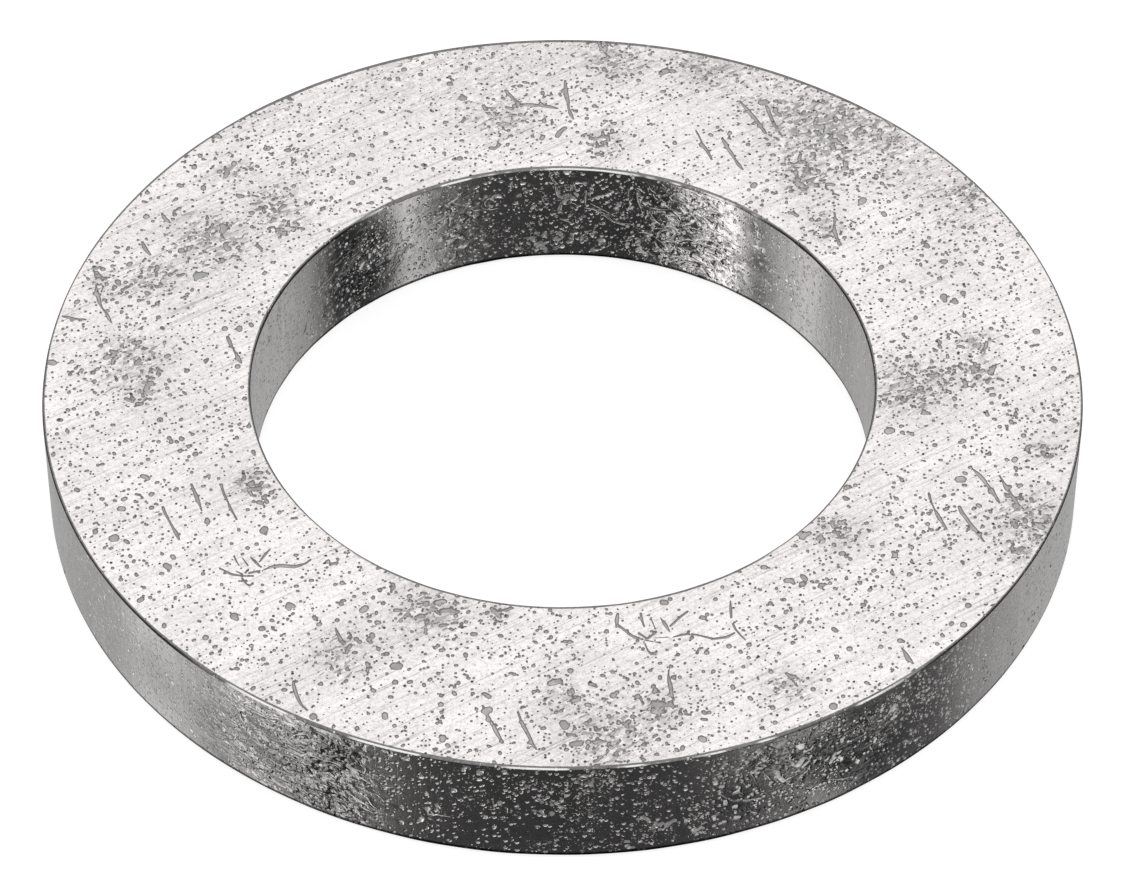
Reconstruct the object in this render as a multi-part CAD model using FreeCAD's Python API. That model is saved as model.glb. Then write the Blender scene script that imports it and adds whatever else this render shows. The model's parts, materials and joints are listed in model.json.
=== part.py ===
import FreeCAD, Part
import math
import os

# A plain flat washer of the small series, for an M5 screw. Lengths are in millimetres.
# It is one ring. The origin is the centre of the lower bearing face, and +Z runs up through the hole.

# Driving dimensions
outer_diameter = 8.90
hole_diameter = 5.34
thickness = 1.07
edge_round = 0.025  # radius that tumbling leaves on each of the four circular edges

# Directions and angles
origin = FreeCAD.Vector(0, 0, 0)
ring_axis = FreeCAD.Vector(0, 0, 1)
quarter_turn = math.pi / 2
full_turn_degrees = 360


def profile_point(centre, angle):
    """A point on the round of one corner, in the XZ plane, where X is the distance from the axis."""
    return FreeCAD.Vector(
        centre.x + edge_round * math.cos(angle),
        0,
        centre.z + edge_round * math.sin(angle),
    )


def ring_profile():
    """The ring's section: an upright rectangle beside the axis, with its four corners rounded."""
    inner = hole_diameter / 2 + edge_round
    outer = outer_diameter / 2 - edge_round
    low = edge_round
    high = thickness - edge_round
    # Anticlockwise from the outer top corner, each with a quarter turn of round.
    corner_centres = [
        FreeCAD.Vector(outer, 0, high),
        FreeCAD.Vector(inner, 0, high),
        FreeCAD.Vector(inner, 0, low),
        FreeCAD.Vector(outer, 0, low),
    ]
    rounds = []
    for index, centre in enumerate(corner_centres):
        start = index * quarter_turn
        rounds.append(
            (
                profile_point(centre, start),
                profile_point(centre, start + quarter_turn / 2),
                profile_point(centre, start + quarter_turn),
            )
        )
    edges = []
    for index, (first, middle, last) in enumerate(rounds):
        next_first = rounds[(index + 1) % len(rounds)][0]
        edges.append(Part.Arc(first, middle, last).toShape())
        edges.append(Part.LineSegment(last, next_first).toShape())
    return Part.Face(Part.Wire(edges))


def flat_washer():
    """The ring: its section turned once round the axis."""
    return ring_profile().revolve(origin, ring_axis, full_turn_degrees)


os.makedirs("parts", exist_ok=True)
flat_washer().exportStep("parts/flat_washer.step")
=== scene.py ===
import json
import math

import bpy
import numpy as np
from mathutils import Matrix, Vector
from mathutils.geometry import delaunay_2d_cdt


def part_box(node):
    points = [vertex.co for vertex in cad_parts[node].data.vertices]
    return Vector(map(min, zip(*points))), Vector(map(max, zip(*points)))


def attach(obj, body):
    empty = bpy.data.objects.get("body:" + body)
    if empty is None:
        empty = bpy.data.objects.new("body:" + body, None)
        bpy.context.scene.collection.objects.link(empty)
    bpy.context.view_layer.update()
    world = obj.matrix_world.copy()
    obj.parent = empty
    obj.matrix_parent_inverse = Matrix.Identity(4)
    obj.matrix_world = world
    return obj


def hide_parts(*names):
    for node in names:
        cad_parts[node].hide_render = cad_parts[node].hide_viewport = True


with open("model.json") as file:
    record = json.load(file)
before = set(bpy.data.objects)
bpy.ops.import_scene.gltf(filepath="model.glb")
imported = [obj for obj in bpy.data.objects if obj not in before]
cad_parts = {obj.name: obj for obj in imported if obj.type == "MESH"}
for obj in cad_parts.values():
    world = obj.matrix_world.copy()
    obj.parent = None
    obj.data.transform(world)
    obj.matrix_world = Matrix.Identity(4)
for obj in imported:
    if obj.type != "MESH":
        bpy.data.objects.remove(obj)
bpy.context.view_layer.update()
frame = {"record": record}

# A worn steel washer. Its one CAD node is replaced by a closed mesh, with pits, scratches and folds cut into
# its surface. The mesh is worked out in millimetres and scaled to metres when it is made.

MM = 0.001
NODE = "flat_washer"


def mount(name):
    return next(m for m in frame["record"]["mounts"] if m["name"] == name)


# ---------------------------- sizes, in mm, from the frame

lowest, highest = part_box(NODE)
outer_radius = min(highest.x, highest.y, -lowest.x, -lowest.y) / MM
thickness = (highest.z - lowest.z) / MM
base_z = lowest.z / MM
hole_radius = mount("bore")["dims"]["r_mm"]
edge_round = (thickness - mount("bore")["dims"]["length_mm"]) / 2
mid_z = base_z + thickness / 2

# ---------------------------- fineness of the mesh

OUTER_STEPS = 600       # points round each outer circle
HOLE_STEPS = 400        # points round each circle of the hole
ROUND_STEPS = 4         # strips across each rounded edge
FILL_SPACING = 0.15     # between the points of plain metal, mm
FOLD_SPACING = 0.026    # between the points of crinkled metal, mm
CLOSEST = 0.0065        # points nearer than about this to another are dropped, mm
INSIDE_CLOSEST = 0.016  # the same, for points inside a mark
FILL_CLEARANCE = 0.02   # from the points of plain metal to a mark's outline, mm
FOLD_CLEARANCE = 0.01   # the same, for points of crinkled metal
FOLD_LIMIT = 0.25       # how strongly crinkled the metal is where its finer points start
WELL_INSIDE = -0.005    # gap to a mark at which a point counts as inside it, mm

# ---------------------------- sizes of the marks, mm

FACE_SCRATCH = 0.021    # half width of a face's scratches
WALL_SCRATCH = 0.0135   # the same, of a wall's
FACE_CLAW = 0.0175      # the same, of a face's claws
FLAKE = (0.0145, 0.0105, 0.034)     # half width of a flake: usual, least and most
DOT = (0.0155, 0.0115, 0.042)       # radius of a dot: usual, least and most
PIT_SLOPE = 0.62        # of a pit's side, depth over distance
PIT_DEPTH = 0.012
FOLD_DEPTH = 0.012
FOLD_SIZE = (0.10, 0.05)    # of a fold of crinkled metal, along the wall and up it
FOLD_WAVES = ((0.022, 19, 0), (0.012, 47, 1))   # that bend the folds: height, radians per mm, start
DENTED = 6e-5           # deeper points than this belong to a dent or a fold
LEVEL = 0.9999          # cosine of the tilt up to which a triangle counts as plain metal
FAR = 0.06              # no gap to a mark is taken to be wider than this
CELL = 0.25             # size of the squares that marks are sorted into

# A claw-shaped group of scratches: strokes as (right, up) in mm
CLAW = [
    [(-0.21, 0.13), (-0.10, 0.01), (0.02, -0.04), (0.12, -0.06)],
    [(-0.03, 0.27), (-0.02, 0.19), (0.00, 0.11)],
    [(0.05, 0.22), (0.09, 0.09)],
    [(-0.05, 0.05), (0.02, -0.02), (0.09, 0.05)],
    [(0.13, 0.22), (0.17, 0.14), (0.21, 0.05)],
    [(0.21, 0.12), (0.29, 0.22), (0.36, 0.29)],
    [(0.00, -0.07), (0.03, -0.16), (0.07, -0.20), (0.10, -0.15)],
    [(0.23, 0.00), (0.32, 0.03), (0.41, 0.03), (0.56, -0.02), (0.67, 0.00), (0.74, 0.05)],
    [(0.08, -0.01), (0.20, 0.00)],
]


class Marks:
    """What marks one surface, on its flat plan. A dent is a chain of tapering capsules with its rim points.
    Stains and crinkles are soft round patches; on a wall the stains are dull metal darkened by painted shade.
    stretch makes the dents longer along Y than along X."""

    def __init__(self, seed, stretch=1.0):
        self.random = np.random.RandomState(seed)
        self.stretch = np.array([1.0, stretch])
        self.capsules = []
        self.rims = []
        self.stains_and_shade = []
        self.crinkles = []

    def groove(self, path, widths):
        """A groove along a path, with its half width at each point."""
        path = np.asarray(path, float) / self.stretch
        widths = np.asarray(widths, float)
        for i in range(len(path) - 1):
            self.capsules.append((*path[i], *path[i + 1], widths[i], widths[i + 1]))
            step = path[i + 1] - path[i]
            length = np.hypot(*step)
            along = step / max(length, 1e-9)
            across = np.array([-along[1], along[0]])
            stations = max(1, int(round(length / (1.3 * widths[i] + 0.008))))
            for t in (np.arange(stations) + 0.5) / stations:
                middle = path[i] + t * step
                half = widths[i] + t * (widths[i + 1] - widths[i])
                self.rims += [middle, middle + half * across, middle - half * across]
        for end, other, half in ((path[0], path[1], widths[0]), (path[-1], path[-2], widths[-1])):
            heading = math.atan2(*(end - other)[::-1])
            for turn in (-60, 0, 60):
                angle = heading + math.radians(turn)
                self.rims.append(end + half * np.array([math.cos(angle), math.sin(angle)]))

    def dot(self, x, y, radius, oval=1.0, heading=0.0):
        """A round pit, or an oval one when oval is over 1."""
        reach = radius * (oval - 1)
        offset = np.array([math.cos(heading), math.sin(heading)]) * reach
        if reach > 0.3 * radius:
            centre = np.array([x, y])
            self.groove([centre - offset, centre + offset], [radius, radius])
            return
        centre = np.array([x, y]) / self.stretch
        self.capsules.append((*centre, *centre, radius, radius))
        count = 6 if radius < 0.017 else 8 if radius < 0.03 else 12
        start = self.random.uniform(0, 2 * math.pi)
        for ring, number in ((radius, count), (radius * 0.5, count // 2)):
            if ring < radius and radius < 0.026:
                self.rims.append(centre)
                break
            for k in range(number):
                angle = start + 2 * math.pi * k / number
                self.rims.append(centre + ring * np.array([math.cos(angle), math.sin(angle)]))

    def scratch(self, x, y, heading, length, bend):
        """A face's scratch centred on a point. Heading and bend, the turn from end to end, are in degrees."""
        pieces = max(2, int(length / 0.07))
        path = [np.array([0.0, 0.0])]
        for i in range(pieces):
            angle = math.radians(heading + bend * ((i + 0.5) / pieces - 0.5) + self.random.normal(0, 4))
            path.append(path[-1] + length / pieces * np.array([math.cos(angle), math.sin(angle)]))
        path = np.array(path)
        path += np.array([x, y]) - (path[0] + path[-1]) / 2
        self.beaded(path, FACE_SCRATCH)

    def beaded(self, path, half_width):
        """A groove whose width swells and shrinks along its path."""
        widths = half_width * self.random.uniform(0.5, 1.25, len(path))
        widths[[0, -1]] *= 0.7
        self.groove(path, widths)

    def claw(self, x, y, size=1.0, turn=0.0, flip=1.0, half_width=FACE_CLAW):
        """A claw-shaped group of scratches: turned by some degrees, and upside down when flip is -1."""
        angle = math.radians(turn)
        across = size * np.array([math.cos(angle), math.sin(angle)])
        up = size * flip * np.array([-math.sin(angle), math.cos(angle)])
        for stroke in CLAW:
            self.beaded([np.array([x, y]) + right * across + rise * up for right, rise in stroke], half_width)

    def flakes(self, x, y, spread, count):
        """A cluster of small torn flakes and pits that run together."""
        for _ in range(count):
            place = np.array([x, y]) + self.random.normal(0, spread, 2)
            half = np.clip(FLAKE[0] * math.exp(self.random.normal(0, 0.32)), *FLAKE[1:])
            turns = self.random.choice([0, 0, 1, 2])
            if turns == 0:
                self.dot(*place, half)
                continue
            path = [place]
            heading = self.random.uniform(0, 2 * math.pi)
            for _ in range(turns):
                heading += self.random.normal(0, 0.9)
                reach = self.random.uniform(1.0, 2.6) * half
                path.append(path[-1] + reach * np.array([math.cos(heading), math.sin(heading)]))
            self.groove(path, half * self.random.uniform(0.7, 1.2, len(path)))

    def scatter(self, inner, outer, count, crowding=0.35):
        """Dots all over a ring-shaped plan, part of them crowded round chance centres."""
        random = self.random
        centres = self.anywhere(inner, outer, max(3, count // 60))
        places = self.anywhere(inner, outer, count)
        crowded = random.uniform(0, 1, count) < crowding
        chosen = centres[random.randint(0, len(centres), count)]
        places[crowded] = (chosen + random.normal(0, 0.2, (count, 2)))[crowded]
        radii = np.clip(DOT[0] * np.exp(random.normal(0, 0.28, count)), *DOT[1:])
        for (x, y), radius in zip(places, radii):
            if inner < math.hypot(x, y) < outer:
                self.dot(x, y, radius, random.choice([1.0, 1.0, 1.5]), random.uniform(0, math.pi))

    def anywhere(self, inner, outer, count):
        """Chance points, evenly spread over a ring-shaped plan."""
        radius = np.sqrt(self.random.uniform(inner ** 2, outer ** 2, count))
        angle = self.random.uniform(0, 2 * math.pi, count)
        return np.stack([radius * np.cos(angle), radius * np.sin(angle)], 1)


def soft_patches(points, patches):
    """From 0 to 1, how strongly each point lies in patches of (x, y, spread, strength)."""
    clear = np.ones(len(points))
    for x, y, spread, strength in patches:
        distance = np.hypot(points[:, 0] - x, points[:, 1] - y)
        clear *= 1 - strength * np.exp(-0.5 * (distance / spread) ** 2)
    return 1 - clear


def folds(places):
    """From 0 to 1, a smooth relief of short wavy folds along a wall, at points in space."""
    along = np.arctan2(places[:, 1], places[:, 0]) * np.hypot(places[:, 0], places[:, 1])
    up = places[:, 2]
    for height, rate, start in FOLD_WAVES:
        up = up + height * np.sin(along * rate + start)
    cells = np.column_stack([along, up]) / FOLD_SIZE
    corner = np.floor(cells).astype(int)
    share = cells - corner
    share = share * share * (3 - 2 * share)
    count = 64    # cells, each way, before the heights repeat
    heights = np.random.RandomState(21).uniform(0, 1, (count, count))

    def row(rise):
        left, right = (heights[(corner[:, 0] + k) % count, (corner[:, 1] + rise) % count] for k in (0, 1))
        return left + (right - left) * share[:, 0]

    return row(0) + (row(1) - row(0)) * share[:, 1]


def capsules_by_cell(capsules):
    """For each square cell of the plan, the numbers of the capsules that come near it."""
    ends = np.stack([capsules[:, 0:2], capsules[:, 2:4]])
    reach = capsules[:, 4:6].max(1)[:, None] + FAR
    lowest_cells = np.floor((ends.min(0) - reach) / CELL).astype(int)
    highest_cells = np.floor((ends.max(0) + reach) / CELL).astype(int)
    near = {}
    for number, (low, high) in enumerate(zip(lowest_cells.tolist(), highest_cells.tolist())):
        for i in range(low[0], high[0] + 1):
            for j in range(low[1], high[1] + 1):
                near.setdefault((i, j), []).append(number)
    return near


def gap_to_marks(points, marks):
    """How far each point lies outside the nearest mark, in mm; less than 0 inside one."""
    points = points / marks.stretch
    capsules = np.array(marks.capsules)
    near = capsules_by_cell(capsules)
    cells, cell_of = np.unique(np.floor(points / CELL).astype(int), axis=0, return_inverse=True)
    cell_of = cell_of.ravel()
    order = np.argsort(cell_of, kind="stable")
    groups = np.split(order, np.cumsum(np.bincount(cell_of))[:-1])
    gaps = np.full(len(points), FAR)
    for cell, group in zip(cells.tolist(), groups):
        chosen = capsules[near.get(tuple(cell), [])]
        if len(chosen) == 0:
            continue
        along = chosen[:, 2:4] - chosen[:, 0:2]
        away = points[group, None] - chosen[:, 0:2]
        t = np.clip((away * along).sum(2) / np.maximum((along ** 2).sum(1), 1e-12), 0, 1)
        away = away - t[..., None] * along
        half = chosen[:, 4] + t * (chosen[:, 5] - chosen[:, 4])
        gaps[group] = np.minimum(FAR, (np.hypot(away[..., 0], away[..., 1]) - half).min(1))
    return gaps


# ---------------------------- the four surfaces
# Each one is meshed on a flat ring-shaped plan. A face's plan is the face itself. A wall's plan is the wall
# opened out like a cone, with height as distance from the centre, in the way that keeps small shapes true.


def wall_plan_radius(radius, z):
    return radius * np.exp((z - mid_z) / radius)


def on_face(z, into):
    """From plan points and depths to points on a flat face. into is -1 where the metal lies below it."""
    return lambda plan, depth: np.column_stack([plan, z + into * depth])


def on_wall(radius, into):
    """From plan points and depths to points on a round wall. into is -1 where the metal lies inside it."""

    def place(plan, depth):
        distance = np.hypot(plan[:, 0], plan[:, 1])
        out = plan / distance[:, None]
        z = mid_z + radius * np.log(distance / radius)
        return np.column_stack([out * (radius + into * depth)[:, None], z])

    return place


def face_normal(sign):
    return lambda places: np.tile([0.0, 0.0, sign], (len(places), 1))


def wall_normal(sign):
    return lambda places: sign * np.column_stack([places[:, :2], np.zeros(len(places))]) / np.hypot(
        places[:, 0], places[:, 1])[:, None]


def wavy(count, seed, least, most):
    """A value for each of count points round a circle that wanders smoothly between two limits."""
    random = np.random.RandomState(seed)
    angle = np.arange(count) * 2 * math.pi / count
    wave = np.zeros(count)
    for order in range(2, 60):
        wave += random.normal(0, 1 / order ** 0.5) * np.sin(order * angle + random.uniform(0, 2 * math.pi))
    wave = (wave - wave.min()) / (wave.max() - wave.min())
    return least + (most - least) * wave


def ring_loop(radii):
    """Points round a circle whose radius is given at each of them."""
    angle = np.arange(len(radii)) * 2 * math.pi / len(radii)
    return np.stack([radii * np.cos(angle), radii * np.sin(angle)], 1)


def fill_points(inner, outer, spacing, random):
    """A jittered net of points over a ring-shaped plan."""
    across = np.arange(-outer, outer, spacing)
    up = np.arange(-outer, outer, spacing * 0.87)
    x, y = np.meshgrid(across, up)
    x[1::2] += spacing / 2
    points = np.stack([x.ravel(), y.ravel()], 1) + random.uniform(-0.25, 0.25, (x.size, 2)) * spacing
    radius = np.hypot(points[:, 0], points[:, 1])
    return points[(radius > inner) & (radius < outer)]


def plan_mesh(inner_loop, outer_loop, marks):
    """Points and triangles of one plan. The first points are the outer loop's, then the inner loop's."""
    inner = np.hypot(*inner_loop.T).max() + CLOSEST
    outer = np.hypot(*outer_loop.T).min() - CLOSEST
    fill = fill_points(inner, outer, FILL_SPACING, marks.random)
    fill = fill[np.abs(gap_to_marks(fill, marks)) > FILL_CLEARANCE]
    folded = fill_points(inner, outer, FOLD_SPACING, marks.random)
    folded = folded[soft_patches(folded, marks.crinkles) > FOLD_LIMIT]
    folded = folded[np.abs(gap_to_marks(folded, marks)) > FOLD_CLEARANCE]
    loose = np.concatenate([np.array(marks.rims) * marks.stretch, fill, folded])
    radius = np.hypot(loose[:, 0], loose[:, 1])
    loose = loose[(radius > inner) & (radius < outer)]
    inside = gap_to_marks(loose, marks) < WELL_INSIDE
    spacing = np.where(inside, INSIDE_CLOSEST, CLOSEST)[:, None]
    squares = np.column_stack([np.floor(loose / spacing).astype(int), inside])
    _, first = np.unique(squares, axis=0, return_index=True)
    loose = loose[np.sort(first)]
    points = np.concatenate([outer_loop, inner_loop, loose])
    turns = [(0, len(outer_loop)), (len(outer_loop), len(inner_loop))]
    edges = [(start + i, start + (i + 1) % count) for start, count in turns for i in range(count)]
    result = delaunay_2d_cdt([Vector(p) for p in points], edges, [], 0, 1e-7)
    first_of = np.array([same[0] for same in result[3]])
    triangles = first_of[np.array(result[2])]
    outer_count = len(outer_loop)
    return points, triangles[inside_plan(points, triangles, outer_count, outer_count + len(inner_loop))]


def inside_plan(points, triangles, outer_count, loops_count):
    """True for the triangles that lie between the two loops. Only one with all its corners on the same loop
    can lie elsewhere. It is inside that loop when its corners, in the loop's order, turn the loop's way."""
    corners = points[np.sort(triangles, axis=1)]
    first, second = corners[:, 1] - corners[:, 0], corners[:, 2] - corners[:, 0]
    inside = first[:, 0] * second[:, 1] > first[:, 1] * second[:, 0]
    on_outer = (triangles < outer_count).all(1)
    on_inner = ((triangles >= outer_count) & (triangles < loops_count)).all(1)
    return ~(on_outer & ~inside | on_inner & inside)


# Values kept at each point: the gap to the nearest mark in mm, how far round an edge the point lies (0 on
# a face, 1 on a wall), and how strongly it is stained, which on a wall is dull metal darkened by painted
# shade, and crinkled (0 to 1).
VALUES = ("mark_gap", "edge_turn", "stain_and_shade", "crinkle")


class Body:
    """The washer's mesh as it is put together."""

    def __init__(self):
        self.points = np.empty((0, 3))
        self.base_normals = np.empty((0, 3))
        self.values = np.empty((0, len(VALUES)))
        self.depths = np.empty(0)
        self.triangles = []

    def add_points(self, points, normals, values, depths):
        first = len(self.points)
        self.points = np.concatenate([self.points, points])
        self.base_normals = np.concatenate([self.base_normals, normals])
        self.values = np.concatenate([self.values, values])
        self.depths = np.concatenate([self.depths, depths])
        return first

    def add_surface(self, inner_loop, outer_loop, marks, place, normal, turn, flip):
        """One surface. Returns the numbers of its outer loop's and its inner loop's points."""
        plan, triangles = plan_mesh(inner_loop, outer_loop, marks)
        gaps = gap_to_marks(plan, marks)
        stain_and_shade, crinkle = soft_patches(plan, marks.stains_and_shade), soft_patches(plan, marks.crinkles)
        depth = np.clip(-gaps * PIT_SLOPE, 0, PIT_DEPTH)
        depth += FOLD_DEPTH * crinkle * folds(place(plan, 0 * depth))
        outer_count, inner_count = len(outer_loop), len(inner_loop)
        depth[:outer_count + inner_count] = 0
        places = place(plan, depth)
        values = np.column_stack([gaps, np.full(len(places), turn), stain_and_shade, crinkle])
        first = self.add_points(places, normal(places), values, depth)
        self.triangles.append((triangles[:, ::-1] if flip else triangles) + first)
        outer_ids = first + np.arange(outer_count)
        inner_ids = first + outer_count + np.arange(inner_count)
        return outer_ids, inner_ids

    def add_round(self, face_ids, wall_ids, face_up, wall_out):
        """The rounded edge from a face's loop to a wall's loop that has as many points."""
        face, wall = self.points[face_ids], self.points[wall_ids]
        out = wall_out * wall[:, :2] / np.hypot(wall[:, 0], wall[:, 1])[:, None]
        radial = np.column_stack([out, np.zeros(len(out))])
        up = np.array([0.0, 0.0, face_up])
        centre = face - up * np.abs(face[:, 2] - wall[:, 2])[:, None]
        reach = np.hypot(*(wall - centre)[:, :2].T)[:, None]
        rise = np.abs(face[:, 2] - wall[:, 2])[:, None]
        rings = [face_ids]
        for step in range(1, ROUND_STEPS):
            share = step / ROUND_STEPS
            angle = share * math.pi / 2
            normals = math.sin(angle) * radial + math.cos(angle) * up
            ring = centre + reach * math.sin(angle) * radial + rise * math.cos(angle) * up
            values = self.values[face_ids] * (1 - share) + self.values[wall_ids] * share
            first = self.add_points(ring, normals, values, np.zeros(len(ring)))
            rings.append(first + np.arange(len(ring)))
        rings.append(wall_ids)
        for upper, lower in zip(rings, rings[1:]):
            quads = np.stack([upper, lower, np.roll(lower, -1), np.roll(upper, -1)], 1)
            if face_up * wall_out < 0:
                quads = quads[:, ::-1]
            self.triangles += [quads[:, [0, 1, 2]], quads[:, [0, 2, 3]]]


# ---------------------------- where the marks are


def on_ring(degrees, share):
    """A point of a face, by its bearing from +X and its distance from the centre as a share of the radius."""
    angle = math.radians(degrees)
    return outer_radius * share * math.cos(angle), outer_radius * share * math.sin(angle)


# Patches of torn flakes on the top: bearing, distance as a share of the radius, spread in mm, flakes
TOP_PATCHES = [
    (54, 0.90, 0.26, 129), (50, 0.75, 0.15, 60), (39, 0.67, 0.13, 34), (47, 0.96, 0.12, 26),
    (83, 0.69, 0.13, 47), (99, 0.76, 0.19, 43), (83, 0.93, 0.14, 34), (73, 0.96, 0.12, 22),
    (139, 0.75, 0.16, 52), (142, 0.69, 0.07, 26), (150, 0.79, 0.17, 52), (138, 0.89, 0.10, 15),
    (161, 0.85, 0.16, 39), (163, 0.95, 0.07, 15), (176, 0.84, 0.15, 56), (183, 0.81, 0.09, 22),
    (206, 0.65, 0.12, 47), (248, 0.66, 0.16, 56), (259, 0.63, 0.06, 26), (241, 0.83, 0.15, 30),
    (270, 0.82, 0.11, 22), (275, 0.93, 0.18, 64), (282, 0.88, 0.11, 39), (297, 0.90, 0.12, 17),
    (321, 0.66, 0.14, 39), (358, 0.67, 0.20, 60), (1, 0.80, 0.11, 39), (7, 0.81, 0.10, 19),
    (337, 0.96, 0.15, 60), (331, 0.97, 0.08, 26), (348, 0.93, 0.08, 17), (33, 0.97, 0.10, 22),
]

# Scratches on the top: bearing, distance, heading and bend in degrees, length in mm
TOP_SCRATCHES = [
    (89, 0.81, -80, 20, 0.55), (60, 0.86, -72, 15, 0.44), (63, 0.85, -63, -8, 0.50),
    (67, 0.73, -70, 10, 0.42), (62, 0.73, -68, 12, 0.46), (38, 0.69, -88, 8, 0.42),
    (94, 0.79, -4, -25, 0.42), (97, 0.82, -55, 15, 0.27), (85, 0.97, -70, 10, 0.24),
    (150, 0.91, -58, 40, 0.16), (156, 0.90, -65, 20, 0.20), (167, 0.92, -73, 18, 0.52),
    (170, 0.97, -6, 10, 0.24), (173, 0.64, -68, 10, 0.36), (208, 0.71, -70, 14, 0.44),
    (208, 0.83, -72, 6, 0.42), (205, 0.76, -72, 6, 0.34), (239, 0.79, -60, 45, 0.22),
    (240, 0.95, -65, 40, 0.36), (262, 0.90, -65, 8, 0.44), (266, 0.91, -68, 12, 0.44),
    (279, 0.645, -88, 5, 0.16), (297, 0.683, -86, 4, 0.20), (296, 0.74, -60, 30, 0.22),
    (284, 0.82, -84, 20, 0.36), (333, 0.79, -72, 10, 0.42), (333, 0.86, -68, 14, 0.46),
    (340, 0.85, -62, -6, 0.46), (340, 0.90, -70, 14, 0.44), (311, 0.96, -65, 8, 0.20),
]

# Large oval pits on the top: bearing, distance, half width in mm, length over width
TOP_OVALS = [
    (158, 0.77, 0.045, 1.4), (248, 0.81, 0.042, 1.5), (347, 0.64, 0.040, 1.5), (77, 0.92, 0.038, 1.6),
    (261, 0.87, 0.040, 1.4), (207, 0.94, 0.040, 1.3), (226, 0.87, 0.040, 1.2), (216, 0.69, 0.036, 1.4),
    (300, 0.98, 0.040, 1.2), (8, 0.93, 0.038, 1.1), (17, 0.78, 0.034, 1.3), (308, 0.68, 0.030, 1.8),
    (105, 0.89, 0.034, 1.2), (132, 0.89, 0.034, 1.3), (104, 0.84, 0.038, 1.3), (127, 0.70, 0.034, 1.2),
    (239, 0.71, 0.034, 1.6), (269, 0.79, 0.032, 2.4), (63, 0.90, 0.040, 1.5), (340, 0.80, 0.040, 1.5),
]

# Hazy grey stains on the top: bearing, distance, spread in mm, strength
TOP_HAZES = [
    (54, 0.90, 0.42, 0.75), (40, 0.95, 0.34, 0.60), (68, 0.97, 0.36, 0.60), (84, 0.96, 0.30, 0.60),
    (98, 0.96, 0.34, 0.45), (112, 0.97, 0.30, 0.45), (126, 0.96, 0.28, 0.45), (30, 0.92, 0.26, 0.40),
    (150, 0.80, 0.40, 0.45), (178, 0.84, 0.34, 0.40), (276, 0.93, 0.36, 0.35), (249, 0.68, 0.26, 0.35),
    (335, 0.96, 0.28, 0.45), (358, 0.69, 0.30, 0.35), (104, 0.84, 0.40, 0.30), (128, 0.80, 0.34, 0.30),
]


def top_marks():
    marks = Marks(11, stretch=1.1)
    for degrees, share, spread, strength in TOP_HAZES:
        marks.stains_and_shade.append((*on_ring(degrees, share), spread, strength))
    for degrees, share, half_width, oval in TOP_OVALS:
        marks.dot(*on_ring(degrees, share), half_width, oval, marks.random.uniform(0, 1))
    for degrees, share, heading, bend, length in TOP_SCRATCHES:
        marks.scratch(*on_ring(degrees, share), heading, length, bend)
    marks.claw(*on_ring(221, 0.79), size=0.8, turn=12)
    marks.claw(*on_ring(282.5, 0.695))
    for degrees, share, spread, count in TOP_PATCHES:
        marks.stains_and_shade.append((*on_ring(degrees, share), spread * 1.3, 0.78))
        marks.flakes(*on_ring(degrees, share), spread, count)
    marks.scatter(hole_radius, outer_radius, 4050)
    return marks


def bottom_marks():
    """Marks of the same kinds as on the top, at chance places."""
    marks = Marks(12)
    random = marks.random
    for x, y in marks.anywhere(hole_radius, outer_radius, 10):
        marks.dot(x, y, random.uniform(0.03, 0.045), random.uniform(1.1, 1.6), random.uniform(0, math.pi))
    for x, y in marks.anywhere(hole_radius, outer_radius, 22):
        marks.scratch(x, y, random.normal(-68, 14), random.uniform(0.2, 0.55), random.normal(8, 14))
    for x, y in marks.anywhere(hole_radius, outer_radius, 24):
        spread = random.uniform(0.1, 0.24)
        marks.stains_and_shade.append((x, y, spread * 1.3, 0.75))
        marks.flakes(x, y, spread, random.randint(14, 36))
    marks.scatter(hole_radius, outer_radius, 1100)
    return marks


def on_wall_plan(radius, degrees, height):
    """A point of a wall's plan, by its bearing from +X and its height as a share of the thickness."""
    angle = math.radians(degrees)
    reach = wall_plan_radius(radius, base_z + height * thickness)
    return reach * math.cos(angle), reach * math.sin(angle)


# Crinkled patches of the walls: bearing, height, spread in mm, strength
OUTER_CRINKLES = [
    (233, 0.30, 0.18, 0.6), (236, 0.70, 0.25, 0.9), (239, 0.30, 0.25, 0.9), (243, 0.65, 0.25, 1.0),
    (245, 0.25, 0.17, 0.8), (292, 0.80, 0.12, 0.5), (297, 0.60, 0.15, 0.6), (301, 0.60, 0.18, 0.7),
    (304, 0.35, 0.14, 0.6),
]
HOLE_CRINKLES = [
    (70, 0.75, 0.13, 0.8), (67, 0.35, 0.18, 1.0), (64, 0.72, 0.20, 1.0), (60, 0.38, 0.18, 0.8),
    (106, 0.45, 0.22, 0.25), (112, 0.70, 0.18, 0.25), (129, 0.30, 0.16, 0.7), (134, 0.60, 0.18, 0.7),
]

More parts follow.
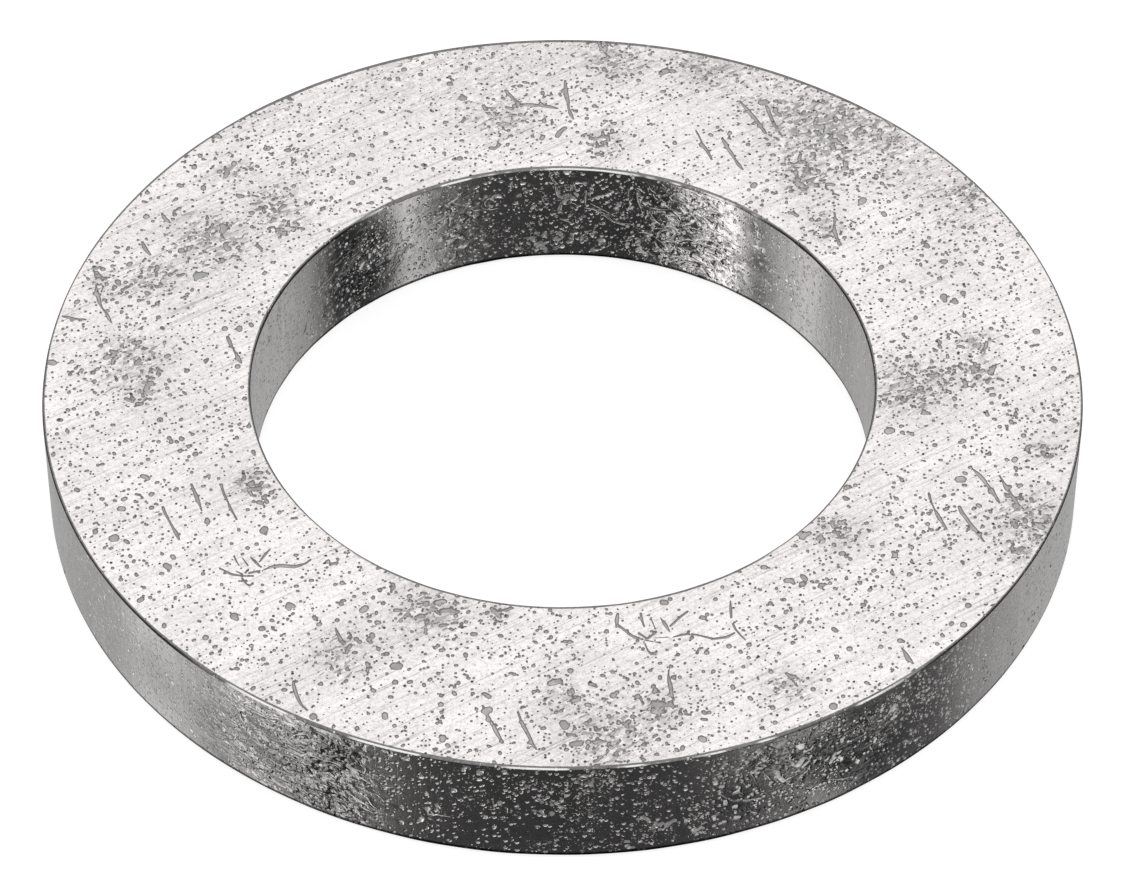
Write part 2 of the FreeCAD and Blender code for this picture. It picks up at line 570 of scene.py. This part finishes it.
# Scratches of the walls: paths of (bearing, height)
OUTER_SCRATCHES = [
    [(299.0, 0.28), (301.0, 0.20), (303.2, 0.16), (305.5, 0.20)],
    [(303.5, 0.82), (304.6, 0.62), (305.4, 0.44)],
    [(237.0, 0.62), (238.8, 0.58), (240.4, 0.60)], [(232.5, 0.45), (234.5, 0.46), (236.0, 0.52)],
    [(239.5, 0.94), (238.6, 0.80), (237.9, 0.66)], [(217.0, 0.08), (217.6, 0.16), (218.8, 0.22)],
    [(224.5, 0.06), (225.0, 0.14), (225.6, 0.20)], [(255.2, 0.30), (256.8, 0.36), (258.4, 0.36)],
    [(306.5, 0.30), (308.0, 0.14)], [(309.0, 0.26), (311.0, 0.18)],
]
HOLE_SCRATCHES = [
    [(92.5, 0.93), (91.4, 0.84), (90.0, 0.75)], [(84.6, 0.62), (81.8, 0.55), (79.4, 0.49), (77.2, 0.50)],
    [(75.9, 0.84), (75.4, 0.70), (74.6, 0.58), (73.6, 0.49)], [(89.4, 0.78), (87.4, 0.84), (85.0, 0.85)],
    [(77.4, 0.82), (77.2, 0.70), (77.0, 0.56)], [(96.2, 0.28), (95.2, 0.38)], [(91.0, 0.52), (88.8, 0.50)],
    [(76.6, 0.32), (74.0, 0.36), (72.6, 0.36)], [(90.6, 0.44), (87.6, 0.38)],
]

# Claws of the walls: bearing, height, size, turn in degrees, flip
OUTER_CLAWS = [(289.5, 0.40, 1.15, 17, -1.0), (30, 0.5, 1.0, 120, -1.0), (130, 0.55, 1.0, 220, -1.0)]
HOLE_CLAWS = [(89.5, 0.66, 0.9, -32, 1.0), (230, 0.5, 1.0, 140, 1.0)]

# Flaked patches of the walls: bearing, height, spread in mm, flakes
OUTER_PATCHES = [
    (273.0, 0.90, 0.10, 60), (267.0, 0.76, 0.06, 14), (268.6, 0.56, 0.05, 12), (264.8, 0.62, 0.07, 12),
    (278.6, 0.16, 0.11, 28), (255.5, 0.38, 0.10, 26), (252.0, 0.90, 0.09, 22), (247.5, 0.80, 0.10, 30),
    (283.0, 0.22, 0.10, 24), (296.0, 0.80, 0.14, 36), (300.5, 0.50, 0.16, 50), (306.5, 0.75, 0.14, 44),
    (236.0, 0.40, 0.18, 40), (209.0, 0.30, 0.12, 16), (315.0, 0.60, 0.12, 16), (20, 0.5, 0.16, 40),
    (62, 0.3, 0.12, 30), (95, 0.7, 0.16, 44), (128, 0.4, 0.10, 24), (160, 0.6, 0.14, 32),
    (290, 0.70, 0.15, 44), (295, 0.50, 0.16, 50), (287, 0.35, 0.10, 14),
]
HOLE_PATCHES = [
    (89.0, 0.70, 0.06, 26), (92.0, 0.18, 0.09, 24), (89.4, 0.22, 0.08, 20), (98.6, 0.86, 0.05, 12),
    (96.0, 0.12, 0.08, 16), (110.0, 0.40, 0.14, 24), (104.0, 0.80, 0.12, 24), (127.5, 0.55, 0.12, 30),
    (83.5, 0.24, 0.06, 10), (72.0, 0.20, 0.08, 14), (59.0, 0.45, 0.12, 22), (41.0, 0.50, 0.10, 16),
    (200, 0.5, 0.12, 26), (248, 0.4, 0.14, 34), (290, 0.6, 0.12, 30), (335, 0.4, 0.10, 22),
]

# Patches of the walls, partly dull metal and darkened by painted shade over their reflection: bearing,
# height, spread in mm, strength
OUTER_DULL_AND_SHADE = [
    (238, 0.5, 0.30, 0.6), (244, 0.2, 0.22, 0.8), (246, 0.8, 0.22, 0.8), (288, 0.4, 0.20, 0.55),
    (294, 0.2, 0.24, 0.7), (296, 0.8, 0.26, 0.7), (300, 0.4, 0.28, 1.0), (302, 0.9, 0.26, 0.95),
    (304, 0.3, 0.24, 0.8), (221, 0.5, 0.20, 0.3), (230, 0.4, 0.20, 0.35), (290.5, 0.4, 0.20, 0.5),
]
HOLE_DULL_AND_SHADE = [
    (50, 0.15, 0.10, 0.7), (49.5, 0.5, 0.11, 0.8), (50.5, 0.85, 0.10, 0.7), (127, 0.2, 0.14, 0.6),
    (129, 0.7, 0.18, 0.9), (132, 0.3, 0.22, 1.0), (135, 0.8, 0.20, 0.9), (137, 0.4, 0.16, 0.8),
    (74, 0.3, 0.20, 0.6), (73, 0.8, 0.20, 0.6), (67, 0.5, 0.22, 0.3),
]


def wall_marks(seed, radius, dull_and_shade, crinkles, scratches, patches, dots, claws):
    marks = Marks(seed)
    random = marks.random
    for degrees, height, size, turn, flip in claws:
        marks.claw(*on_wall_plan(radius, degrees, height), size, turn, flip, WALL_SCRATCH)
    for degrees, height, spread, strength in dull_and_shade:
        marks.stains_and_shade.append((*on_wall_plan(radius, degrees, height), spread, strength))
    for degrees, height, spread, strength in crinkles:
        marks.crinkles.append((*on_wall_plan(radius, degrees, height), spread, strength))
    for path in scratches:
        marks.beaded([on_wall_plan(radius, degrees, height) for degrees, height in path], WALL_SCRATCH)
    for degrees, height, spread, count in patches:
        marks.flakes(*on_wall_plan(radius, degrees, height), spread, count)
    inner, outer = wall_plan_radius(radius, np.array([base_z, base_z + thickness]))
    for x, y in marks.anywhere(inner, outer, 8):
        marks.dot(x, y, random.uniform(0.024, 0.04), random.uniform(1.2, 1.7), random.uniform(0, math.pi))
    marks.scatter(inner, outer, dots)
    return marks


# ---------------------------- the washer


def washer_body():
    body = Body()
    top_z, bottom_z = base_z + thickness, base_z
    least, most = edge_round * 0.8, edge_round * 1.3
    rounds = {
        "top_outer": wavy(OUTER_STEPS, 1, least, most),
        "top_hole": wavy(HOLE_STEPS, 2, least, most),
        "bottom_outer": wavy(OUTER_STEPS, 3, least, most),
        "bottom_hole": wavy(HOLE_STEPS, 4, least, most),
    }

    def face(marks, side, z, sign):
        return body.add_surface(
            ring_loop(hole_radius + rounds[side + "_hole"]),
            ring_loop(outer_radius - rounds[side + "_outer"]),
            marks, on_face(z, -sign), face_normal(sign), 0.0, flip=sign < 0)

    def wall(marks, circle, radius, sign):
        return body.add_surface(
            ring_loop(wall_plan_radius(radius, bottom_z + rounds["bottom_" + circle])),
            ring_loop(wall_plan_radius(radius, top_z - rounds["top_" + circle])),
            marks, on_wall(radius, -sign), wall_normal(sign), 1.0, flip=sign > 0)

    top_outer, top_hole = face(top_marks(), "top", top_z, 1.0)
    low_outer, low_hole = face(bottom_marks(), "bottom", bottom_z, -1.0)
    outer_marks = wall_marks(
        13, outer_radius, OUTER_DULL_AND_SHADE, OUTER_CRINKLES, OUTER_SCRATCHES, OUTER_PATCHES, 1050, OUTER_CLAWS)
    wall_top, wall_low = wall(outer_marks, "outer", outer_radius, 1.0)
    hole_marks = wall_marks(
        14, hole_radius, HOLE_DULL_AND_SHADE, HOLE_CRINKLES, HOLE_SCRATCHES, HOLE_PATCHES, 800, HOLE_CLAWS)
    bore_top, bore_low = wall(hole_marks, "hole", hole_radius, -1.0)
    body.add_round(top_outer, wall_top, 1.0, 1.0)
    body.add_round(low_outer, wall_low, -1.0, 1.0)
    body.add_round(top_hole, bore_top, 1.0, -1.0)
    body.add_round(low_hole, bore_low, -1.0, -1.0)
    return body


def corner_normals(points, triangles, base_normals, depths):
    """Plain metal keeps its surface's true normal. In a mark or a fold, the normals follow the dent."""
    sides = points[triangles]
    cut = np.cross(sides[:, 1] - sides[:, 0], sides[:, 2] - sides[:, 0])
    outward = np.einsum("ij,ij->i", cut, base_normals[triangles].mean(1))
    tilted = outward < LEVEL * np.linalg.norm(cut, axis=1)
    dented = (depths[triangles].max(1) > DENTED) & tilted
    summed = np.zeros_like(points)
    for corner in range(3):
        np.add.at(summed, triangles[dented, corner], cut[dented])
    summed /= np.maximum(np.linalg.norm(summed, axis=1), 1e-12)[:, None]
    normals = base_normals[triangles]
    normals[dented] = summed[triangles[dented]]
    return normals.reshape(-1, 3)


def washer_object():
    body = washer_body()
    triangles = np.concatenate(body.triangles)
    mesh = bpy.data.meshes.new("washer")
    mesh.from_pydata((body.points * MM).tolist(), [], triangles.tolist())
    mesh.validate()
    for name, values in zip(VALUES, body.values.T.astype(np.float32)):
        mesh.attributes.new(name, "FLOAT", "POINT").data.foreach_set("value", np.ascontiguousarray(values))
    normals = corner_normals(body.points, triangles, body.base_normals, body.depths)
    mesh.shade_smooth()
    mesh.normals_split_custom_set(normals.tolist())
    washer = bpy.data.objects.new("washer", mesh)
    bpy.context.scene.collection.objects.link(washer)
    print("washer:", len(body.points), "points,", len(triangles), "triangles")
    return washer


# ---------------------------- materials


class Nodes:
    """Short ways to add nodes to a tree and wire them."""

    def __init__(self, tree):
        self.tree = tree
        self.tree.nodes.clear()

    def add(self, kind, **settings):
        node = self.tree.nodes.new(kind)
        for name, value in settings.items():
            setattr(node, name, value)
        return node

    def wire(self, value, socket):
        if isinstance(value, bpy.types.NodeSocket):
            self.tree.links.new(value, socket)
        else:
            socket.default_value = value

    def feed(self, node, values):
        """Sets or wires a node's inputs by name or number. Returns its first output."""
        for name, value in values.items():
            self.wire(value, node.inputs[name])
        return node.outputs[0]

    def math(self, operation, *values):
        node = self.add("ShaderNodeMath", operation=operation)
        return self.feed(node, dict(enumerate(values)))

    def times(self, first, *others):
        """The product of some numbers."""
        for other in others:
            first = self.math("MULTIPLY", first, other)
        return first

    def step(self, value, low, high, before=0.0, after=1.0):
        """A smooth change from before to after, as value goes from low to high."""
        node = self.add("ShaderNodeMapRange", interpolation_type="SMOOTHSTEP")
        limits = {"From Min": low, "From Max": high, "To Min": before, "To Max": after}
        return self.feed(node, {"Value": value, **limits})

    def mix(self, share, first, second):
        node = self.add("ShaderNodeMix", data_type="RGBA")
        self.wire(share, node.inputs["Factor"])
        for value, name in ((first, "A"), (second, "B")):
            socket = next(s for s in node.inputs if s.name == name and s.type == "RGBA")
            self.wire((*value, 1.0) if isinstance(value, tuple) else value, socket)
        return next(s for s in node.outputs if s.type == "RGBA")

    def blend(self, share, first, second):
        node = self.add("ShaderNodeMix", data_type="FLOAT")
        return self.feed(node, {0: share, 2: first, 3: second})

    def stretched(self, vector, scale, degrees=0.0):
        """A vector turned back by an angle about Z, then scaled along each axis."""
        turned = self.add("ShaderNodeVectorRotate", rotation_type="Z_AXIS")
        turned = self.feed(turned, {"Vector": vector, "Angle": -math.radians(degrees)})
        return self.feed(self.add("ShaderNodeVectorMath", operation="MULTIPLY"), {0: turned, 1: scale})

    def scaled(self, vector, factor):
        """A vector or a colour times a number."""
        node = self.add("ShaderNodeVectorMath", operation="SCALE")
        return self.feed(node, {0: vector, "Scale": factor})

    def noise(self, vector, scale, detail=2.0, roughness=0.5, distortion=0.0):
        node = self.add("ShaderNodeTexNoise")
        pattern = {"Scale": scale, "Detail": detail, "Roughness": roughness, "Distortion": distortion}
        self.feed(node, {"Vector": vector, **pattern})
        return node.outputs["Fac"]

    def ramp(self, value, stops, interpolation="LINEAR"):
        """A grey level read off a ramp of (position, level) stops."""
        node = self.add("ShaderNodeValToRGB")
        node.color_ramp.interpolation = interpolation
        elements = node.color_ramp.elements
        while len(elements) < len(stops):
            elements.new(1.0)
        for element, (position, level) in zip(elements, stops):
            element.position = position
            element.color = (level, level, level, 1.0)
        self.wire(value, node.inputs["Fac"])
        return node.outputs["Color"]


METAL = (0.97, 0.94, 0.93)
MARK_FILL = (0.43, 0.42, 0.415)
# a face mark's rim is painted dark: painted shade
MARK_RIM_SHADE = (0.15, 0.147, 0.146)
WALL_MARK_FILL = (0.73, 0.72, 0.715)
# a wall mark's rim is painted light: a painted highlight
WALL_MARK_RIM_HIGHLIGHT = (0.6, 0.6, 0.6)
# a painted highlight, for the rounded edges
PAINTED_HIGHLIGHT_WHITE = (0.97, 0.965, 0.96)
# painted shade, for the foot of the walls and the far sides' upper rounds
PAINTED_SHADE_BLACK = (0.02, 0.02, 0.02)
BLACK_SPECK = (0.045, 0.044, 0.044)

BRUSH_BEARING = 33.0    # direction of the brush lines, degrees from +X
# Patterns, in cells per mm. Three values are along the brush lines, across them and up.
FINE_LINES = (1.1, 60.0, 1.6)
BROAD_LINES = (0.7, 19.0, 0.7)
CRUSTS = (12.0, 25.0, 17.0)
MOTTLING = 62.0
FLECKS = 34.0
TONE = 1.3
STAIN_EDGES = 14.0
OUTLINES = 70.0
SPECKS = 22.0
LIGHT_SPECKS = 46.0

# Heights of what the material raises or sinks, mm
LINE_DEPTH = 0.0007
MOTTLE_HEIGHT = 0.0011
SPECK_DEPTH = 0.006
CREASE_HEIGHT = 0.05
RIDGE_HEIGHT = 0.012


def grain(n, mm, on_face):
    """The bare metal's fine lines, broad lines and mottling, and the shade that they give it."""
    fine = n.noise(n.stretched(mm, FINE_LINES, BRUSH_BEARING), 1.0, 3.0, 0.6)
    broad = n.noise(n.stretched(mm, BROAD_LINES, BRUSH_BEARING), 1.0, 3.0, 0.65)
    lines = n.times(n.step(fine, 0.53, 0.70), n.blend(on_face, 0.4, 1.0))
    mottle = n.noise(mm, MOTTLING, 2.0, 0.7)
    flecks = n.step(n.noise(mm, FLECKS, 3.0, 0.75), 0.485, 0.63)
    tone = n.noise(mm, TONE, 4.0, 0.55)
    shade = n.times(
        n.math("MULTIPLY_ADD", lines, -0.31, 1.0),
        n.step(n.step(broad, 0.35, 0.7), 0.0, 1.0, 0.91, 1.0),
        n.step(mottle, 0.3, 0.65, 0.86, 1.02),
        n.math("MULTIPLY_ADD", flecks, -0.22, 1.0),
        n.step(tone, 0.3, 0.7, 0.92, 1.02))
    return lines, broad, mottle, shade


def mark_masks(n, mm, gap, stain_and_shade, on_face):
    """Where marks are, where they are filled inside their outline, where a speck is black, and the gap to the
    nearest speck in mm. The marks are the dents, with uneven outlines, and what is too small to cut."""
    uneven = n.math("MULTIPLY_ADD", n.noise(mm, OUTLINES, 2.0, 0.6), 0.004, 0.001)
    gap = n.math("ADD", gap, uneven)
    cells = n.add("ShaderNodeTexVoronoi", feature="F1")
    n.feed(cells, {"Vector": mm, "Scale": SPECKS})
    chance = n.add("ShaderNodeSeparateColor")
    n.wire(cells.outputs["Color"], chance.inputs[0])
    largest = n.blend(on_face, n.math("MULTIPLY_ADD", stain_and_shade, 0.14, 0.40), 0.31)
    speck_gap = n.math("SUBTRACT", cells.outputs["Distance"], n.times(chance.outputs[0], largest))
    speck_gap = n.times(speck_gap, 1 / SPECKS)
    gap = n.math("MINIMUM", gap, speck_gap)
    # on the walls a mark is painted smaller than its dent
    mark = n.step(n.math("ADD", gap, n.blend(on_face, 0.0055, 0.0)), -0.0015, 0.0005, 1.0, 0.0)
    core = n.step(gap, -0.0115, -0.0065, 1.0, 0.0)
    # crusts on the faces: small flat islands, thick where the metal is stained
    crust = n.noise(n.stretched(mm, CRUSTS, BRUSH_BEARING), 1.0, 2.0, 0.55, 0.2)
    crust = n.times(n.math("MULTIPLY_ADD", stain_and_shade, 0.235, crust), on_face)
    mark = n.math("MAXIMUM", mark, n.step(crust, 0.74, 0.755))
    core = n.math("MAXIMUM", core, n.step(crust, 0.765, 0.785))
    # small light specks on the walls, here and there
    light_speck_limit = n.step(n.noise(mm, 2.6, 3.0, 0.6), 0.4, 0.65, 0.72, 0.59)
    light_specks = n.math("SUBTRACT", n.noise(mm, LIGHT_SPECKS, 1.5, 0.5), light_speck_limit)
    light_specks = n.times(n.step(light_specks, 0.0, 0.03), n.math("SUBTRACT", 1.0, on_face))
    mark = n.math("MAXIMUM", mark, light_specks)
    core = n.math("MAXIMUM", core, light_specks)
    black = n.step(chance.outputs[1], 0.74, 0.76)
    black = n.times(black, n.step(speck_gap, -0.003, 0.0, 1.0, 0.0), on_face)
    return mark, core, black, speck_gap


def painted_edge_lines(n, mm, turn, radius, x, y, z):
    """Where the painted lines along the edges are: grey and black painted shade, and a bright painted
    highlight.
    """
    far_sides = n.step(n.math("DIVIDE", n.math("ABSOLUTE", x), radius), 0.55, 0.72)
    front_or_back = n.math("SUBTRACT", 1.0, far_sides)
    upper = n.step(z, mid_z - 0.01, mid_z + 0.01)
    # grey painted shade: the rim of each face, widest at the back, and all of the round that isn't painted
    # bright. At the far left and right the hole has no grey rim, and the outer edge has one only towards the
    # back.
    behind = n.step(y, outer_radius * -0.5, outer_radius * -0.2)
    far_back = n.step(y, outer_radius * 0.1, outer_radius * 0.6)
    side_reach = n.math("MULTIPLY_ADD", far_back, edge_round * 0.75, edge_round * -0.5)
    reach = n.blend(far_sides, n.times(behind, edge_round * 0.9), side_reach)
    rim_starts, rim_full = outer_radius - edge_round * 1.2, outer_radius - edge_round * 0.98
    near_outer = n.step(n.math("ADD", reach, radius), rim_starts, rim_full)
    near_hole = n.step(radius, hole_radius + edge_round * 1.25, hole_radius + edge_round * 1.5, 1.0, 0.0)
    near_hole = n.times(near_hole, front_or_back)
    grey = n.times(n.math("MAXIMUM", near_outer, near_hole), n.step(turn, 0.36, 0.5, 1.0, 0.0))
    # bright painted highlight: the middle of the upper rounds at the front and the back, in broken stretches
    stretches = n.step(n.noise(mm, 1.6, 3.0, 0.6), 0.42, 0.52)
    bright = n.times(n.step(turn, 0.36, 0.48), n.step(turn, 0.76, 0.88, 1.0, 0.0))
    bright = n.times(bright, upper, stretches, front_or_back)
    whole_round = n.times(n.step(turn, 0.02, 0.2), n.step(turn, 0.8, 0.98, 1.0, 0.0))
    grey = n.math("MAXIMUM", grey, n.times(whole_round, n.math("SUBTRACT", 1.0, bright)))
    # black painted shade: the foot of the walls, and the upper rounds at the far left and right
    foot = n.step(z, base_z + edge_round * 1.4, base_z + edge_round * 2.2, 1.0, 0.0)
    black = n.times(foot, n.step(turn, 0.2, 0.4))
    side_round = n.times(n.step(turn, 0.35, 0.5), n.step(turn, 0.9, 1.0, 1.0, 0.0), upper, far_sides)
    return grey, bright, n.math("MAXIMUM", black, side_round)


def relief(n, radius, x, y, z, crinkle, lines, mottle, speck_gap):
    """The normal with what is too fine to cut: brush lines, mottling, specks, and creases over the folds."""
    arc = n.times(n.math("ARCTAN2", y, x), radius)
    around = n.add("ShaderNodeCombineXYZ")
    around = n.feed(around, {"X": n.times(arc, 0.75), "Y": n.times(z, 1.3), "Z": radius})
    creases = n.noise(around, 8.0, 1.5, 0.55, 0.8)
    ridges = n.math("ABSOLUTE", n.math("SUBTRACT", n.noise(around, 5.0, 1.0, 0.5, 1.0), 0.5))
    ridges = n.step(ridges, 0.0, 0.08, 1.0, 0.0)
    uneven = n.step(n.noise(around, 2.4, 2.0, 0.6), 0.35, 0.6, 0.25, 1.0)
    crinkled = n.times(crinkle, uneven)
    height = n.math("MULTIPLY_ADD", lines, -LINE_DEPTH, n.times(mottle, MOTTLE_HEIGHT))
    height = n.math("MULTIPLY_ADD", n.times(crinkled, creases), CREASE_HEIGHT, height)
    height = n.math("MULTIPLY_ADD", n.times(crinkled, ridges), RIDGE_HEIGHT, height)
    height = n.math("MULTIPLY_ADD", n.step(speck_gap, -0.008, 0.005), SPECK_DEPTH, height)
    return n.feed(n.add("ShaderNodeBump"), {"Strength": 1.0, "Distance": MM, "Height": height})


def steel_material():
    material = bpy.data.materials.new("worn_steel")
    material.use_nodes = True
    n = Nodes(material.node_tree)
    mm = n.scaled(n.add("ShaderNodeTexCoord").outputs["Object"], 1 / MM)
    parts = n.add("ShaderNodeSeparateXYZ")
    n.wire(mm, parts.inputs[0])
    x, y, z = parts.outputs
    flat = n.feed(n.add("ShaderNodeVectorMath", operation="MULTIPLY"), {0: mm, 1: (1.0, 1.0, 0.0)})
    length = n.add("ShaderNodeVectorMath", operation="LENGTH")
    n.wire(flat, length.inputs[0])
    radius = length.outputs["Value"]
    gap, turn, stain_and_shade, crinkle = [
        n.add("ShaderNodeAttribute", attribute_name=name).outputs["Fac"] for name in VALUES]
    on_face = n.step(turn, 0.1, 0.5, 1.0, 0.0)

    lines, broad, mottle, shade = grain(n, mm, on_face)
    mark, core, black_speck, speck_gap = mark_masks(n, mm, gap, stain_and_shade, on_face)
    painted_edge_shade, painted_edge_highlight, painted_black_shade = painted_edge_lines(n, mm, turn, radius, x, y, z)

    # metal, darker in the stains, in the walls' patches of painted shade and in the grey painted shade along
    # the edges
    cloudy = n.times(stain_and_shade, n.step(n.noise(mm, STAIN_EDGES, 4.0, 0.7, 0.3), 0.38, 0.58))
    # on the walls the stain is dull metal darkened by painted shade over its reflection; on the faces it is a
    # real stain
    stain_and_shade_darkening = n.blend(on_face, n.times(stain_and_shade, 0.86), n.times(cloudy, 0.42))
    shade = n.times(shade, n.math("SUBTRACT", 1.0, stain_and_shade_darkening), n.math("MULTIPLY_ADD", painted_edge_shade, -0.75, 1.0))
    # marks: an outline, painted dark as shade on the faces and light as a highlight on the walls, and an
    # uneven fill, which on the walls is less metallic in the dull patches and painted brighter there as a
    # highlight
    fill_tone_and_highlight = n.step(n.noise(mm, 9.0, 2.0, 0.5), 0.3, 0.62, 1.1, 0.78)
    fill_tone_and_highlight = n.times(fill_tone_and_highlight, n.blend(on_face, n.math("MULTIPLY_ADD", stain_and_shade, 0.4, 1.0), 1.0))
    fill = n.scaled(n.mix(on_face, WALL_MARK_FILL, MARK_FILL), fill_tone_and_highlight)
    outline = n.mix(on_face, WALL_MARK_RIM_HIGHLIGHT, MARK_RIM_SHADE)
    colour = n.mix(mark, n.scaled(METAL, shade), n.mix(core, outline, fill))
    colour = n.mix(black_speck, colour, BLACK_SPECK)
    # a painted highlight along the upper rounds, not metallic
    colour = n.mix(painted_edge_highlight, colour, PAINTED_HIGHLIGHT_WHITE)
    # black painted shade at the foot of the walls and on the far sides' upper rounds
    colour = n.mix(n.times(painted_black_shade, 0.92), colour, PAINTED_SHADE_BLACK)

    wall_roughness = n.math("MULTIPLY_ADD", broad, 0.05, 0.08)
    roughness = n.blend(on_face, wall_roughness, n.math("MULTIPLY_ADD", broad, 0.14, 0.17))
    roughness = n.blend(mark, roughness, n.blend(on_face, 0.16, 0.62))
    wall_mark_metallic = n.math("MULTIPLY_ADD", stain_and_shade, -0.38, 0.48)
    metallic = n.blend(mark, 1.0, n.blend(on_face, wall_mark_metallic, 0.1))

    shader = n.feed(n.add("ShaderNodeBsdfPrincipled"), {
        "Base Color": colour,
        "Roughness": n.blend(painted_edge_highlight, roughness, 0.6),
        "Metallic": n.blend(painted_edge_highlight, metallic, 0.0),
        "Normal": relief(n, radius, x, y, z, crinkle, lines, mottle, speck_gap),
    })
    n.wire(shader, n.add("ShaderNodeOutputMaterial").inputs["Surface"])
    return material


def floor_material():
    material = bpy.data.materials.new("pale_floor")
    material.use_nodes = True
    n = Nodes(material.node_tree)
    pale = n.feed(n.add("ShaderNodeBsdfPrincipled"), {
        "Base Color": (0.3, 0.3, 0.3, 1.0),
        "Roughness": 0.9,
        "Specular IOR Level": 0.0,
        "Emission Color": (1.0, 1.0, 1.0, 1.0),
        "Emission Strength": 0.8,
    })
    seen_from_below = n.add("ShaderNodeNewGeometry").outputs["Backfacing"]
    clear = n.add("ShaderNodeBsdfTransparent").outputs[0]
    shader = n.feed(n.add("ShaderNodeMixShader"), {0: seen_from_below, 1: pale, 2: clear})
    n.wire(shader, n.add("ShaderNodeOutputMaterial").inputs["Surface"])
    return material


# ---------------------------- stage


def add_floor():
    half = 400 * MM
    mesh = bpy.data.meshes.new("floor")
    z = lowest.z - 0.01 * MM
    corners = [(-half, -half, z), (half, -half, z), (half, half, z), (-half, half, z)]
    mesh.from_pydata(corners, [], [(0, 1, 2, 3)])
    floor = bpy.data.objects.new("floor", mesh)
    bpy.context.scene.collection.objects.link(floor)
    mesh.materials.append(floor_material())
    floor.visible_glossy = False
    floor.visible_diffuse = False


# Brightness of the studio below the horizon, by bearing from the camera's side: -180 to 180 degrees as 0 to 1
LOW_STUDIO = [
    (0.0, 0.44), (0.08, 0.42), (0.139, 0.38), (0.167, 0.40), (0.208, 0.70), (0.25, 0.46), (0.278, 0.21),
    (0.306, 0.72), (0.333, 1.60), (0.361, 0.34), (0.389, 0.11), (0.417, 0.055), (0.444, 0.045),
    (0.5, 0.042), (0.556, 0.045), (0.583, 0.055), (0.611, 0.12), (0.639, 0.28), (0.667, 0.80),
    (0.694, 0.26), (0.722, 0.09), (0.75, 0.06), (0.778, 0.17), (0.806, 0.32), (0.861, 0.42),
    (1.0, 0.45),
]
HIGH_STUDIO = [(0.0, 0.8), (0.5, 1.12), (1.0, 1.12)]     # its brightness above the horizon, by height
STRAIGHT_DOWN = (0.05, 0.05, 0.05)


def add_world():
    world = bpy.data.worlds.new("studio")
    bpy.context.scene.world = world
    world.use_nodes = True
    n = Nodes(world.node_tree)
    direction = n.add("ShaderNodeSeparateXYZ")
    n.wire(n.add("ShaderNodeTexCoord").outputs["Generated"], direction.inputs[0])
    x, y, z = direction.outputs
    bearing = n.math("ARCTAN2", x, n.times(y, -1.0))
    bearing = n.math("MULTIPLY_ADD", bearing, 1 / (2 * math.pi), 0.5)
    low = n.ramp(bearing, LOW_STUDIO, "EASE")
    low = n.mix(n.step(z, -0.88, -0.97), low, STRAIGHT_DOWN)
    high = n.ramp(z, HIGH_STUDIO)
    sky = n.mix(n.step(z, -0.3, 0.05), low, high)
    seen = n.add("ShaderNodeLightPath").outputs["Is Camera Ray"]
    sky = n.mix(seen, sky, (1.0, 1.0, 1.0))
    background = n.feed(n.add("ShaderNodeBackground"), {"Color": sky, "Strength": 1.0})
    n.wire(background, n.add("ShaderNodeOutputWorld").inputs["Surface"])


def add_camera():
    """A long lens that looks down at the centre of the washer's top face from the -Y side."""
    above = math.radians(44.394)    # elevation of the line from the top's centre to the camera
    pitch = math.radians(45.171)    # how far down the camera looks
    distance = 9.896 * outer_radius * MM
    data = bpy.data.cameras.new("camera")
    data.sensor_width = 36.0
    data.lens = 164.42
    data.clip_start = 0.001
    data.clip_end = 2.0
    camera = bpy.data.objects.new("camera", data)
    top_centre = Vector((0, 0, highest.z))
    camera.location = top_centre + distance * Vector((0, -math.cos(above), math.sin(above)))
    camera.rotation_euler = (math.pi / 2 - pitch, 0, 0)
    bpy.context.scene.collection.objects.link(camera)
    bpy.context.scene.camera = camera


# ---------------------------- making

add_camera()
add_world()
add_floor()
washer = washer_object()
washer.data.materials.append(steel_material())
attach(washer, "root")
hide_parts(NODE)

bpy.context.scene.view_settings.view_transform = "Standard"
